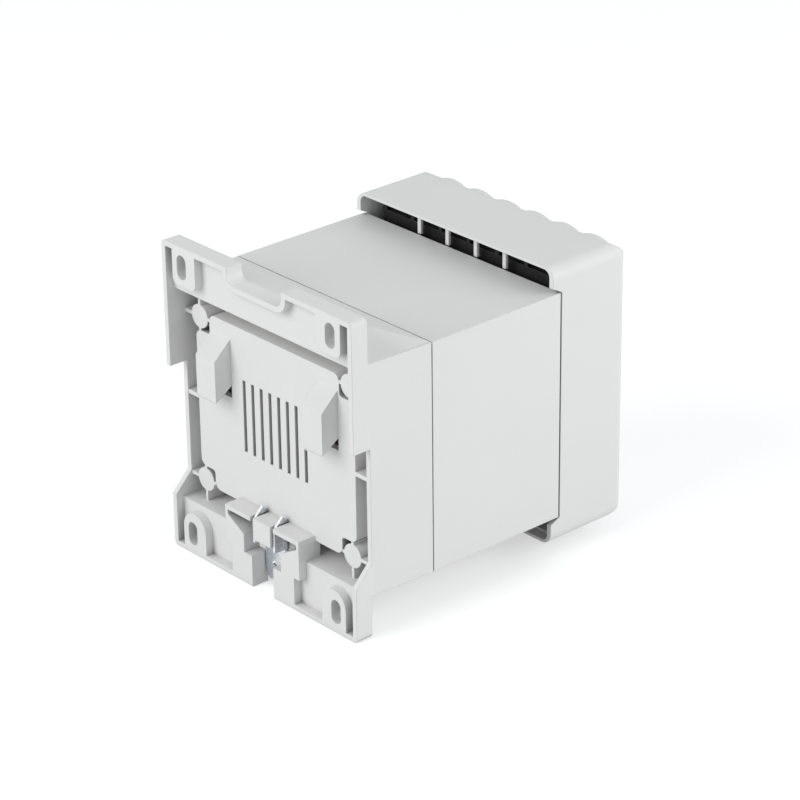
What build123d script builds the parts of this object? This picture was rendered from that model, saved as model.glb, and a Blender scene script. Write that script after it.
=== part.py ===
from build123d import *
import os

# Transformer for 35 mm rail, in millimetres. While it is modelled, z = 0 is the lower edge of the mounting
# flange and a depth is counted from the flange's rim plane, y = 0, towards the terminals at the front (-Y).
# Each piece is then moved so that the origin is midway between the upper slots on the rim plane, +Z up.

# Rail that the part is made for
rail_height = 35.0
rail_lip = 1.0
rail_centre = 43.2
rail_top = rail_centre + rail_height / 2
rail_bottom = rail_centre - rail_height / 2
seat_depth = 6.6

# Mounting flange
flange_width = 88.0
flange_height = 105.0
flange_depth = 6.1
flange_corner = 1.6
flange_rim = 1.8
tray_depth = 2.9
side_setback = 6.4
ear_bottom = 62.9
passage_bottom = 25.0
flare_bottom = 18.4

# Case, with a little draft at the rear
case_draft = 1.0
case_width = flange_width + 2 * case_draft
case_bottom = 13.9
flange_above_case = 14.7
case_top = flange_height - flange_above_case
case_centre = (case_bottom + case_top) / 2
case_wall = 1.7
first_seam = 30.0
second_seam = 83.0
seam_gap = 0.4
seam_depth = 0.6
spigot_length = 2.0
spigot_wall = 0.8
spigot_clearance = 0.1
roof_underside = case_top - case_wall
case_floor = 2.8
floor_top = case_bottom + case_floor

# Slotted bosses of the flange
slot_side_margin = 9.5
slot_top_margin = 6.8
slot_x = flange_width / 2 - slot_side_margin
slot_low_z = 7.2
slot_high_z = flange_height - slot_top_margin
slot_width = 4.3
slot_length = 8.0
boss_shift = 1.0
boss_x = slot_x - boss_shift
boss_half_width = 5.5
upper_boss_drop = 6.4
upper_boss_bottom = slot_high_z - upper_boss_drop
upper_boss_corner = 2.5
lower_boss_rise = 1.8
lower_boss_centre = slot_low_z + lower_boss_rise

# Notch and hipped ramp behind the upper flange
notch_half_width = 12.7
notch_drop = 5.3
notch_floor = flange_height - notch_drop
notch_corner = 3.0
notch_rim = 2.0
ramp_half_width = 23.0

# Core plates, as large as the case takes, stacked from the rear to the front. They are cut without
# scrap, which makes them six legs wide and five high, with windows three legs high.
core_side_margin = 3.0
core_end_margin = 3.2
legs_wide = 6
legs_high = 5
window_legs_high = 3
plate_leg = min(
    (case_width - 2 * core_side_margin) / legs_wide,
    (case_top - case_bottom - 2 * core_end_margin) / legs_high,
)
core_width = legs_wide * plate_leg
core_height = legs_high * plate_leg
window_height = window_legs_high * plate_leg
core_hole_spacing_x = core_width - plate_leg
core_hole_spacing_z = core_height - plate_leg
core_hole_radius = 2.25
core_rear = 24.0
core_stack = 43.0
core_front = core_rear + core_stack
core_middle = core_rear + core_stack / 2

# Rail seat plate round the posts, with the channel round it
plate_side_margin = 2.0
plate_lower_margin = 1.5
plate_upper_margin = 2.2
plate_half_width = core_hole_spacing_x / 2 + plate_side_margin
plate_bottom = case_centre - core_hole_spacing_z / 2 - plate_lower_margin
plate_top = case_centre + core_hole_spacing_z / 2 + plate_upper_margin
plate_corner = 2.5
plate_wall = 2.2
post_cutaway = 4.7
cutaway_corner = 1.2
channel_floor = 18.0
channel_wall = 2.0
post_radius = 3.9
post_rib = 1.1
gusset_z = 52.3
gusset_rib = 1.4

# Rail hooks
hook_inner_x = 20.4
hook_width = 9.2
hook_face = 0.3
hook_apex = 77.0
hook_shoulder = 71.2
hook_play = 0.1
hook_slope = 0.65

# Air slots
vent_count = 8
vent_pitch = 4.1
vent_width = 1.4
vent_bottom = 41.0
vent_top = 65.2
short_vent_top = 52.0

# Clip guide under the rail seat
guide_half_width = 17.6
guide_foot_half_width = 15.0
guide_foot_top = 11.0
shelf_top = 24.3
shelf_thickness = 1.5
gap_half_width = 5.1
block_top = 10.7
pocket_half_width = 8.8
pocket_side_top = 17.0
pocket_outer_x = 16.4
pocket_outer_z = 21.2
tongue_half_width = 4.1
tongue_thickness = 2.0
tongue_bottom = 17.0
guide_back_wall = 2.0

# Sheet steel clip and its leaf spring
clip_sheet = 0.8
clip_clearance = 0.3
clip_web_setback = 0.6
clip_web_front = seat_depth - clip_web_setback
clip_tail_half_width = 4.7
clip_tail_bottom = 2.0
clip_tail_corner = 3.0
clip_tail_top = 15.0
clip_rear_edge = 0.8
clip_prong_bottom = 15.4
clip_prong_heel = 17.5
clip_nose_depth = 1.2
clip_hole_radius = 1.5
clip_hole_z = 8.5
spring_thickness = 0.45
spring_rise = 0.95
spring_rear = 2.4
spring_width = 2.0
spring_end_gap = 0.2

# Bobbin and windings
bobbin_clearance = 0.3
bobbin_wall = 1.2
bobbin_flange = 1.5
bobbin_corner = 2.0
bobbin_edge_margin = 0.7
bobbin_overhang = plate_leg - bobbin_edge_margin
winding_margin = 3.6
winding_build = plate_leg - winding_margin
winding_corner = 7.0
winding_gap = 0.1
wrap_thickness = 0.5

# Core screws, from the front into the posts
screw_radius = 2.0
screw_post_clearance = 0.05
screw_end = 12.0
screw_hole_spare = 1.0
screw_hole_end = screw_end - screw_hole_spare
screw_head_radius = 3.6
screw_head_height = 2.6
screw_head_bevel = 0.6
screw_slot_width = 1.0
screw_slot_depth = 1.2
washer_radius = 4.4
washer_thickness = 0.8
washer_clearance = 0.2

# Terminal cover
cover_rise = 8.5
cover_drop = 9.1
cover_overlap = 3.2
cover_side_gap = 0.6
cover_reach = 28.7
cover_top = case_top + cover_rise
cover_bottom = case_bottom - cover_drop
cover_rear = second_seam - cover_overlap
cover_side_rear = second_seam + cover_side_gap
cover_front = second_seam + cover_reach
cover_wall = case_wall
cover_lip = 1.0
cover_corner = 4.0
cover_upright_corner = 3.0
cover_front_rounding = 6.5
cover_bottom_rounding = 9.0
cover_passage_gap = 2.0
cover_seat_gap = 0.15
lobe_radius = 14.0
lobe_rear_setback = 11.0
lobe_shoulder_setback = 4.8
lobe_front_setback = 1.1
lobe_rear = cover_front - lobe_rear_setback
lobe_shoulder = cover_front - lobe_shoulder_setback
lobe_front = cover_front - lobe_front_setback
lobe_slope = 0.95
lobe_height = 8.0
window_rib = 1.5
window_rib_depth = 1.0
access_radius = 2.75
access_tube_radius = 4.3
access_tube_length = 8.1
access_tube_rear = cover_front - access_tube_length

# Screw terminals
pole_count = 6
pole_side_margin = 6.0
pole_pitch = (case_width - 2 * pole_side_margin) / pole_count
pole_inset = 12.0
block_setback = 3.6
block_thickness = 7.9
block_rear = second_seam + block_setback
block_front = block_rear + block_thickness
block_half_height = 5.4
barrier_rise = 6.0
barrier_front = block_front + barrier_rise
barrier_half_height = 6.6
barrier_thickness = 1.4
foot_inner_x = 9.0
foot_width = 11.0
foot_thickness = 2.0
foot_ledge = 1.5
tag_thickness = 1.0
tag_side_margin = 1.9
tag_half_width = pole_pitch / 2 - tag_side_margin
tag_half_height = 4.4
tag_lug_half_width = 1.8
tag_lug_length = 5.2
tag_hole_radius = 0.9
clamp_thickness = 1.3
clamp_side_margin = 2.2
clamp_half_width = pole_pitch / 2 - clamp_side_margin
clamp_half_height = 4.0
clamp_lip = 1.2
clamp_lip_drop = 0.9
terminal_screw_radius = 1.75
terminal_hole_clearance = 0.1
terminal_screw_margin = 1.0
terminal_screw_end = block_rear + terminal_screw_margin
terminal_hole_spare = 0.5
terminal_hole_end = terminal_screw_end - terminal_hole_spare
terminal_head_radius = 3.1
terminal_head_height = 2.2
terminal_slot_width = 0.9
terminal_slot_depth = 1.0

# Lead wires from the windings to the tags
lead_radius = 0.9
lead_bend = 3.0
lead_start_margin = 1.6
lead_start_x = 1.5 * plate_leg + lead_start_margin
lead_start_rise = 5.0
lead_run = 3.2
lead_seat_gap = 0.02
lead_end_gap = 0.6


def span(x_low, x_high, z_low, z_high):
    """A rectangle given by its limits."""
    middle = Pos((x_low + x_high) / 2, (z_low + z_high) / 2)
    return middle * Rectangle(x_high - x_low, z_high - z_low)


def outline(*points):
    """A closed face through points."""
    return make_face(Polyline(*points, close=True))


def forward(profile, depth, length):
    """An X-Z profile, extruded from a depth towards the front."""
    return extrude(Plane.XZ.offset(depth) * profile, length, dir=(0, -1, 0))


def across(profile, left, width):
    """A Y-Z profile, extruded along +X."""
    return extrude(Plane.YZ.offset(left) * profile, width, dir=(1, 0, 0))


def side_outline(*points):
    """A closed face through (depth, z) points, for extruding across."""
    return outline(*[(-depth, z) for depth, z in points])


def rod(x, z, radius, depth, length):
    """A round bar along Y."""
    return forward(Pos(x, z) * Circle(radius), depth, length)


def both_sides(piece):
    """A piece and its mirror image in the middle plane."""
    return piece + mirror(piece, about=Plane.YZ)


def posts():
    """The four corner places shared by posts, core holes and screws."""
    return [
        (side * core_hole_spacing_x / 2, case_centre + level * core_hole_spacing_z / 2)
        for side in (-1, 1)
        for level in (-1, 1)
    ]


def poles():
    """The places of the poles across the case, shared by terminals, lobes and access holes."""
    return [(index - (pole_count - 1) / 2) * pole_pitch for index in range(pole_count)]


def rear_shell():
    """The drafted rear end of the case, from the set-back side edges to the first seam."""
    plan = outline(
        (-flange_width / 2, -side_setback),
        (flange_width / 2, -side_setback),
        (case_width / 2, -first_seam),
        (-case_width / 2, -first_seam),
    )
    shell = extrude(Plane.XY.offset(case_bottom) * plan, case_top - case_bottom, dir=(0, 0, 1))
    inside = span(
        -case_width / 2 + case_wall,
        case_width / 2 - case_wall,
        case_bottom + case_wall,
        case_top - case_wall,
    )
    back = channel_floor + channel_wall
    return shell - forward(inside, back, first_seam - back)


def channel_half_width():
    """Half the width between the side walls, at the flange."""
    return flange_width / 2 - flange_rim


def plate_profile(inset=0.0):
    """The rail seat plate, rounded, with its corners cut away round the posts."""
    profile = span(
        -plate_half_width + inset,
        plate_half_width - inset,
        plate_bottom + inset,
        plate_top - inset,
    )
    cutaway = 2 * (post_cutaway + inset)
    for x, z in posts():
        profile -= Pos(x, z) * Rectangle(cutaway, cutaway)
    from_middle = profile.vertices().sort_by_distance((0, case_centre))
    profile = fillet(from_middle[4:], plate_corner - inset / 2)
    from_middle = profile.vertices().sort_by_distance((0, case_centre))
    return fillet(from_middle[:4], cutaway_corner)


def flange():
    """The flange with its two trays, cut back at the sides where the rail passes."""
    half_width = flange_width / 2
    blank = span(-half_width, half_width, 0, flange_height)
    plate = forward(fillet(blank.vertices(), flange_corner), 0, side_setback)
    plate -= forward(span(-half_width, half_width, case_top, flange_height), flange_depth, side_setback)
    plate -= forward(span(-half_width, half_width, 0, case_bottom), flange_depth, side_setback)
    inner = channel_half_width()
    upper_tray = span(-inner, inner, roof_underside, flange_height - flange_rim)
    lower_tray = span(guide_foot_half_width, inner, flange_rim, floor_top)
    upper_tray -= notch_profile(notch_rim)
    for side in (-1, 1):
        upper_tray -= upper_boss(side * boss_x)
    lower_tray -= lower_boss(boss_x)
    plate -= forward(upper_tray, 0, tray_depth)
    plate -= both_sides(forward(lower_tray, 0, tray_depth))
    plate -= forward(span(-inner, inner, floor_top, roof_underside), 0, side_setback)
    passage = side_outline(
        (0, flare_bottom),
        (side_setback, passage_bottom),
        (side_setback, ear_bottom),
        (0, ear_bottom),
    )
    plate -= across(passage, -half_width, flange_width)
    plate -= forward(notch_profile(0), 0, flange_depth)
    guide_bay = span(-guide_foot_half_width, guide_foot_half_width, 0, floor_top)
    return plate - forward(guide_bay, 0, side_setback)


def notch_profile(margin):
    """The notch in the flange's upper edge, wider by a margin for its rim."""
    half_width = notch_half_width + margin
    opening = span(-half_width, half_width, notch_floor - margin, flange_height + notch_corner)
    corners = opening.vertices().sort_by(Axis.Y)[:2]
    return fillet(corners, notch_corner + margin)


def upper_boss(x):
    """An upper boss, hanging from the flange's rim."""
    profile = span(x - boss_half_width, x + boss_half_width, upper_boss_bottom, flange_height)
    corners = profile.vertices().sort_by(Axis.Y)[:2]
    return fillet(corners, upper_boss_corner)


def lower_boss(x):
    """A lower boss with an arched top, standing on the flange's rim."""
    profile = span(x - boss_half_width, x + boss_half_width, 0, lower_boss_centre)
    return profile + Pos(x, lower_boss_centre) * Circle(boss_half_width)


def fixing_slots():
    """The four upright slots of the flange."""
    slot = Rot(0, 0, 90) * SlotOverall(slot_length, slot_width)
    low = forward(Pos(slot_x, slot_low_z) * slot, 0, side_setback)
    high = forward(Pos(slot_x, slot_high_z) * slot, 0, side_setback)
    return both_sides(low) + both_sides(high)


def ramp():
    """The hipped ramp that backs the upper flange."""
    wedge = side_outline(
        (flange_depth, case_top - case_wall),
        (first_seam, case_top - case_wall),
        (first_seam, case_top),
        (flange_depth, notch_floor),
    )
    half_width = flange_width / 2
    hips = outline(
        (-half_width, case_top),
        (-half_width, case_top - case_wall),
        (half_width, case_top - case_wall),
        (half_width, case_top),
        (ramp_half_width, notch_floor),
        (-ramp_half_width, notch_floor),
    )
    hipped = forward(hips, flange_depth, first_seam - flange_depth)
    return across(wedge, -half_width, flange_width) & hipped


def rail_hook():
    """One fixed hook: sloped on top, undercut below to wedge the rail's upper lip."""
    lip_face = seat_depth - rail_lip
    undercut = rail_top + hook_play
    tip = undercut - (lip_face - hook_face) * hook_slope
    root = undercut + rail_lip * hook_slope
    profile = side_outline(
        (seat_depth, hook_apex),
        (hook_face, hook_shoulder),
        (hook_face, tip),
        (seat_depth, root),
    )
    return across(profile, hook_inner_x, hook_width), tip, root


def clip_guide():
    """The box under the rail seat that carries the clip: two cheeks with spring pockets, and a tongue."""
    cheek = outline(
        (clip_slot_outer(), shelf_top),
        (guide_half_width, shelf_top),
        (guide_half_width, guide_foot_top),
        (guide_foot_half_width, guide_foot_top),
        (guide_foot_half_width, 0),
        (gap_half_width, 0),
        (gap_half_width, block_top),
        (pocket_half_width, block_top),
        (pocket_half_width, pocket_side_top),
        (pocket_outer_x, pocket_outer_z),
        (pocket_outer_x, shelf_top - shelf_thickness),
        (clip_slot_outer(), shelf_top - shelf_thickness),
    )
    cheeks = both_sides(forward(cheek, 0, seat_depth))
    cheeks -= forward(span(-guide_half_width, guide_half_width, 0, case_bottom), flange_depth, seat_depth)
    tongue = side_outline(
        (0, shelf_top),
        (0, tongue_bottom),
        (tongue_thickness, tongue_bottom),
        (tongue_thickness, shelf_top - shelf_thickness),
        (seat_depth, shelf_top - shelf_thickness),
        (seat_depth, shelf_top),
    )
    back = span(-guide_half_width, guide_half_width, case_bottom, shelf_top)
    return (
        cheeks
        + across(tongue, -tongue_half_width, 2 * tongue_half_width)
        + forward(back, seat_depth, guide_back_wall)
    )


def clip_slot_outer():
    """Outer side of the slots that the clip's prongs rise through."""
    return tongue_half_width + clip_sheet + 2 * clip_clearance


def air_slots():
    """The row of air slots in the rail seat plate, the last one short."""
    slots = []
    for index in range(vent_count):
        x = ((vent_count - 1) / 2 - index) * vent_pitch
        top = short_vent_top if index == vent_count - 1 else vent_top
        slots.append(span(x - vent_width / 2, x + vent_width / 2, vent_bottom, top))
    return forward(Sketch() + slots, 0, channel_floor)


def stiffening_ribs():
    """Thin ribs in the channel: a cross at each post and one gusset on each side."""
    ribs = []
    reach = channel_half_width()
    for x, z in posts():
        side = 1 if x > 0 else -1
        level = 1 if z > case_centre else -1
        inner_x = x - side * post_cutaway
        wall_z = roof_underside if level > 0 else floor_top
        inner_z = z - level * post_cutaway
        ribs.append(
            span(*sorted((side * reach, inner_x)), z - post_rib / 2, z + post_rib / 2)
        )
        ribs.append(span(x - post_rib / 2, x + post_rib / 2, *sorted((wall_z, inner_z))))
    cross = forward(Sketch() + ribs, seat_depth, channel_floor - seat_depth)
    gusset = span(plate_half_width, reach, gusset_z - gusset_rib / 2, gusset_z + gusset_rib / 2)
    return cross + both_sides(forward(gusset, seat_depth, channel_floor - seat_depth))


def rear_housing():
    """One moulding: flange, rear of the case, rail seat, hooks, posts and clip guide."""
    housing = rear_shell()
    inner = channel_half_width()
    housing -= forward(span(-inner, inner, floor_top, roof_underside), 0, channel_floor)
    housing += flange()
    housing += ramp()
    housing += forward(plate_profile(), seat_depth, channel_floor - seat_depth)
    housing += stiffening_ribs()
    housing += clip_guide()
    hook, tip, root = rail_hook()
    housing += both_sides(hook)
    for x, z in posts():
        housing += rod(x, z, post_radius, seat_depth, core_rear - seat_depth)
    back = channel_floor + channel_wall
    housing -= forward(plate_profile(plate_wall), seat_depth + plate_wall, back - seat_depth - plate_wall)
    core_opening = span(hook_inner_x, hook_inner_x + hook_width, tip, root)
    housing -= both_sides(forward(core_opening, seat_depth, plate_wall))
    housing -= air_slots()
    housing -= fixing_slots()
    for x, z in posts():
        housing -= rod(x, z, screw_radius + screw_post_clearance, screw_hole_end, core_rear - screw_hole_end)
    return housing


def case_outline(margin=0.0):
    """The case's section, made smaller by a margin on each side."""
    return span(
        -case_width / 2 + margin,
        case_width / 2 - margin,
        case_bottom + margin,
        case_top - margin,
    )


def middle_housing():
    """The box between the seams, with a spigot into each neighbour."""
    body = forward(case_outline(), first_seam + seam_gap, second_seam - first_seam - seam_gap)
    body += forward(case_outline(seam_depth), first_seam, seam_gap)
    spigot = case_outline(case_wall + spigot_clearance)
    length = second_seam - first_seam + 2 * spigot_length
    body += forward(spigot, first_seam - spigot_length, length)
    inside = case_outline(case_wall + spigot_clearance + spigot_wall)
    return body - forward(inside, first_seam - spigot_length, length)


def cover_side(inset=0.0):
    """The cover's side view, rounded at the front."""
    front = cover_front - inset
    profile = span(-front, -cover_rear, cover_bottom + inset, cover_top - inset)
    upper = profile.vertices().sort_by(Axis.X)[:2].sort_by(Axis.Y)[-1]
    profile = fillet(upper, cover_front_rounding - inset)
    lower = profile.vertices().sort_by(Axis.Y)[:2].sort_by(Axis.X)[0]
    return fillet(lower, cover_bottom_rounding - inset)


def cover_section(inset=0.0):
    """The cover's section across the case."""
    profile = span(
        -case_width / 2 + inset,
        case_width / 2 - inset,
        cover_bottom + inset,
        cover_top - inset,
    )
    return fillet(profile.vertices(), cover_corner - inset)


def cover_plan(inset=0.0):
    """The cover's outline from above, with rounded upright corners at the front."""
    half_width = case_width / 2 - inset
    profile = span(-half_width, half_width, -(cover_front - inset), -cover_rear)
    return fillet(profile.vertices().sort_by(Axis.Y)[:2], cover_upright_corner - inset)


def cover_body(inset=0.0):
    """The cover's outside, or with an inset its inside."""
    body = across(cover_side(inset), -case_width / 2, case_width)
    body &= forward(cover_section(inset), cover_rear, cover_front - cover_rear)
    return body & extrude(cover_plan(inset), cover_top, dir=(0, 0, 1))


def cover_lobes():
    """Rounded lobes over the poles along the cover's upper and lower edge."""
    profile = outline(
        (0, -lobe_rear),
        (lobe_radius, -lobe_rear),
        (lobe_radius, -lobe_shoulder),
        (lobe_radius - lobe_slope, -lobe_front),
        (0, -lobe_front),
    )
    drum = revolve(Plane.XY * profile, axis=Axis.Y)
    slab = Pos(0, -(lobe_rear + lobe_front) / 2, lobe_radius - lobe_height / 2)
    lobe = drum & (slab * Box(pole_pitch, lobe_front - lobe_rear, lobe_height))
    lobes = []
    for x in poles():
        lobes.append(Pos(x, 0, cover_top - lobe_radius) * lobe)
        lobes.append(Pos(x, 0, cover_bottom + lobe_radius) * Rot(0, 180, 0) * lobe)
    return lobes


def terminal_levels():
    """Heights of the lower and the upper row of terminal screws."""
    return (cover_bottom + pole_inset, cover_top - pole_inset)


def front_cover():
    """The terminal cover: open at the rear over and under the case, with ribs between the cable windows."""
    cover = cover_body()
    for lobe in cover_lobes():
        cover += lobe
    cover -= cover_body(cover_wall)
    mouth = span(
        -case_width / 2 + cover_wall,
        case_width / 2 - cover_wall,
        cover_bottom + cover_lip,
        cover_top - cover_lip,
    )
    mouth = fillet(mouth.vertices(), cover_corner - cover_wall)
    cover -= forward(mouth, cover_rear, cover_side_rear - cover_rear)
    passage = side_outline(
        (cover_rear, case_bottom - cover_passage_gap),
        (cover_side_rear, case_bottom - cover_seat_gap),
        (cover_side_rear, case_top + cover_seat_gap),
        (cover_rear, case_top + cover_passage_gap),
    )
    cover -= across(passage, -case_width / 2, case_width)
    for x in poles()[1:-1]:
        over = span(x - window_rib / 2, x + window_rib / 2, case_top, cover_top - cover_lip)
        under = span(x - window_rib / 2, x + window_rib / 2, cover_bottom + cover_lip, case_bottom)
        cover += forward(over, cover_side_rear, window_rib_depth)
        cover += forward(under, cover_side_rear, window_rib_depth)
    for level in terminal_levels():
        for x in poles():
            cover += rod(x, level, access_tube_radius, access_tube_rear, cover_front - access_tube_rear)
    for level in terminal_levels():
        for x in poles():
            cover -= rod(x, level, access_radius, access_tube_rear, cover_front - access_tube_rear)
    return cover


def rail_clip():
    """The sheet steel slider: a web, a tail with a release hole, and two prongs folded to the rear."""
    prong_outer = tongue_half_width + clip_clearance + clip_sheet
    prong_inner = prong_outer - clip_sheet
    web_top = shelf_top - shelf_thickness - clip_clearance
    web = span(-prong_outer, prong_outer, clip_tail_top, web_top)
    tail = span(-clip_tail_half_width, clip_tail_half_width, clip_tail_bottom, clip_tail_top)
    tail = fillet(tail.vertices().sort_by(Axis.Y)[:2], clip_tail_corner)
    web_rear = clip_web_front - clip_sheet
    sheet = web + tail - Pos(0, clip_hole_z) * Circle(clip_hole_radius)
    clip = forward(sheet, web_rear, clip_sheet)
    lip_face = seat_depth - rail_lip
    nose_depth = lip_face - clip_nose_depth
    nose_top = rail_bottom + clip_nose_depth
    prong_back = seat_depth - clip_clearance
    prong = side_outline(
        (clip_web_front, clip_prong_heel),
        (clip_web_front, web_top),
        (prong_back, shelf_top),
        (prong_back, rail_bottom - (prong_back - lip_face)),
        (nose_depth, nose_top),
        (clip_rear_edge, nose_top - (nose_depth - clip_rear_edge)),
        (clip_rear_edge, clip_prong_bottom),
        (web_rear, clip_tail_top),
        (clip_web_front, clip_tail_top),
    )
    low, high = spring_window()
    prong -= Pos(-(spring_rear + spring_width / 2), (low + high) / 2) * Rectangle(
        spring_width + 2 * clip_clearance, high - low
    )
    return clip + both_sides(across(prong, prong_inner, clip_sheet))


def spring_apex():
    """Height of the spring's underside in the middle."""
    return pocket_outer_z + spring_rise


def spring_window():
    """Limits of the windows in the prongs that the spring passes through."""
    return (
        spring_apex() - spring_rise / 4 - clip_clearance,
        spring_apex() + spring_thickness + clip_clearance / 2,
    )


def clip_spring():
    """The bowed leaf that holds the clip up, resting in the outer corners of the pockets."""
    end = pocket_outer_x - spring_end_gap
    low = pocket_outer_z
    high = low + spring_thickness
    lower = ThreePointArc((-end, low), (0, low + spring_rise), (end, low))
    upper = ThreePointArc((-end, high), (0, high + spring_rise), (end, high))
    sides = [Line((-end, low), (-end, high)), Line((end, low), (end, high))]
    return forward(make_face([lower, upper] + sides), spring_rear, spring_width)


def core_holes():
    """The core's four corner holes."""
    holes = Sketch() + [Pos(x, z) * Circle(core_hole_radius) for x, z in posts()]
    return forward(holes, core_rear, core_stack)


def joint_level():
    """Height where the E plates' legs meet the I plates."""
    return case_centre + window_height / 2


def core_e_laminations():
    """Stack of E plates, legs up."""
    bottom = case_centre - core_height / 2
    plate = span(-core_width / 2, core_width / 2, bottom, joint_level())
    window = span(plate_leg, 2 * plate_leg, bottom + plate_leg, joint_level())
    stack = forward(plate, core_rear, core_stack) - both_sides(forward(window, core_rear, core_stack))
    return stack - core_holes()


def core_i_laminations():
    """Stack of I plates across the legs."""
    plate = span(-core_width / 2, core_width / 2, joint_level(), joint_level() + plate_leg)
    return forward(plate, core_rear, core_stack) - core_holes()


def coil_ring(inner_x, inner_y, build, corner, bottom, height):
    """An upright ring of rounded rectangular section round the middle leg."""
    outer = RectangleRounded(2 * (inner_x + build), 2 * (inner_y + build), corner)
    ring = outer - Rectangle(2 * inner_x, 2 * inner_y)
    return extrude(Plane.XY.offset(bottom) * (Pos(0, -core_middle) * ring), height, dir=(0, 0, 1))


def tube_half_sizes():
    """Outer half sizes of the bobbin's tube round the middle leg."""
    margin = bobbin_clearance + bobbin_wall
    return plate_leg + margin, core_stack / 2 + margin


def flange_levels():
    """Lower faces of the bobbin's three flanges."""
    low = case_centre - window_height / 2 + bobbin_clearance
    high = case_centre + window_height / 2 - bobbin_clearance - bobbin_flange
    return low, (low + high) / 2, high


def bobbin_front():
    """Depth of the bobbin's front edge."""
    return core_front + bobbin_overhang


def bobbin():
    """The former: a tube round the middle leg and three flanges."""
    half_x, half_y = tube_half_sizes()
    low, middle, high = flange_levels()
    height = high + bobbin_flange - low
    former = coil_ring(half_x - bobbin_wall, half_y - bobbin_wall, bobbin_wall, bobbin_wall, low, height)
    reach_x = 2 * plate_leg - bobbin_clearance
    reach_y = core_stack / 2 + bobbin_overhang
    for level in (low, middle, high):
        plate_outline = RectangleRounded(2 * reach_x, 2 * reach_y, bobbin_corner)
        flange_plate = plate_outline - Rectangle(2 * half_x, 2 * half_y)
        placed_plate = Plane.XY.offset(level) * (Pos(0, -core_middle) * flange_plate)
        former += extrude(placed_plate, bobbin_flange, dir=(0, 0, 1))
    return former


def winding_place(upper):
    """Bottom and height of a winding's chamber."""
    low, middle, high = flange_levels()
    start, stop = (middle, high) if upper else (low, middle)
    return start + bobbin_flange + winding_gap, stop - start - bobbin_flange - 2 * winding_gap


def winding(upper):
    """One winding, filling its chamber."""
    half_x, half_y = tube_half_sizes()
    bottom, height = winding_place(upper)
    return coil_ring(half_x, half_y, winding_build, winding_corner, bottom, height)


def winding_wrap(upper):
    """The insulating wrap round one winding."""
    half_x, half_y = tube_half_sizes()
    bottom, height = winding_place(upper)
    outer_x = half_x + winding_build
    outer_y = half_y + winding_build
    corner = winding_corner + wrap_thickness
    outer = RectangleRounded(2 * (outer_x + wrap_thickness), 2 * (outer_y + wrap_thickness), corner)
    ring = outer - RectangleRounded(2 * outer_x, 2 * outer_y, winding_corner)
    return extrude(Plane.XY.offset(bottom) * (Pos(0, -core_middle) * ring), height, dir=(0, 0, 1))


def slotted_screw(radius, tip, seat, head_radius, head_height, slot_width, slot_depth):
    """A pan screw along Y, from its tip to its slotted head, in the middle."""
    top = seat + head_height
    profile = outline(
        (0, tip),
        (radius, tip),
        (radius, seat),
        (head_radius, seat),
        (head_radius, top - screw_head_bevel),
        (head_radius - screw_head_bevel, top),
        (0, top),
    )
    body = revolve(Plane.XY * profile, axis=Axis.Y)
    slot = Pos(0, top - slot_depth / 2, 0) * Box(2 * head_radius, slot_depth, slot_width)
    return Rot(0, 0, 180) * (body - slot)


def core_screws():
    """Four long screws through the core into the posts."""
    screw = slotted_screw(
        screw_radius,
        screw_end,
        core_front + washer_thickness,
        screw_head_radius,
        screw_head_height,
        screw_slot_width,
        screw_slot_depth,
    )
    return [Pos(x, 0, z) * screw for x, z in posts()]


def core_washers():
    """Four washers under the screw heads."""
    ring = Circle(washer_radius) - Circle(screw_radius + washer_clearance)
    return [forward(Pos(x, z) * ring, core_front, washer_thickness) for x, z in posts()]


def terminal_block(upper):
    """A six-pole block with barriers between the poles and two feet on the bobbin."""
    level = terminal_levels()[1 if upper else 0]
    inward = -1 if upper else 1
    reach = (pole_count / 2) * pole_pitch + barrier_thickness / 2
    body = span(-reach, reach, level - block_half_height, level + block_half_height)
    block = forward(body, block_rear, block_front - block_rear)
    for index in range(pole_count + 1):
        x = (index - pole_count / 2) * pole_pitch
        barrier = Pos(x, level) * Rectangle(barrier_thickness, 2 * barrier_half_height)
        block += forward(barrier, block_rear, barrier_front - block_rear)
    low, _, high = flange_levels()
    ledge = high + bobbin_flange if upper else low
    top = level + inward * block_half_height
    foot = side_outline(
        (block_rear, top),
        (block_rear + foot_thickness, top),
        (block_rear + foot_thickness, ledge + inward * foot_ledge),
        (bobbin_front(), ledge + inward * foot_ledge),
        (bobbin_front(), ledge),
        (block_rear, ledge),
    )
    block += both_sides(across(foot, foot_inner_x, foot_width))
    hole = terminal_screw_radius + terminal_hole_clearance
    for x in poles():
        block -= rod(x, level, hole, terminal_hole_end, block_front - terminal_hole_end)
    return block


def tags(upper):
    """Six terminal plates, each with a soldering lug towards the windings."""
    level = terminal_levels()[1 if upper else 0]
    inward = -1 if upper else 1
    lug_end = level + inward * (tag_half_height + tag_lug_length)
    pieces = []
    for x in poles():
        plate = Pos(x, level) * Rectangle(2 * tag_half_width, 2 * tag_half_height)
        lug = span(x - tag_lug_half_width, x + tag_lug_half_width, *sorted((level, lug_end)))
        hole = Pos(x, lug_end - inward * tag_lug_half_width) * Circle(tag_hole_radius)
        screw_hole = Pos(x, level) * Circle(terminal_screw_radius + terminal_hole_clearance)
        pieces.append(forward(plate + lug - hole - screw_hole, block_front, tag_thickness))
    return pieces


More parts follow.
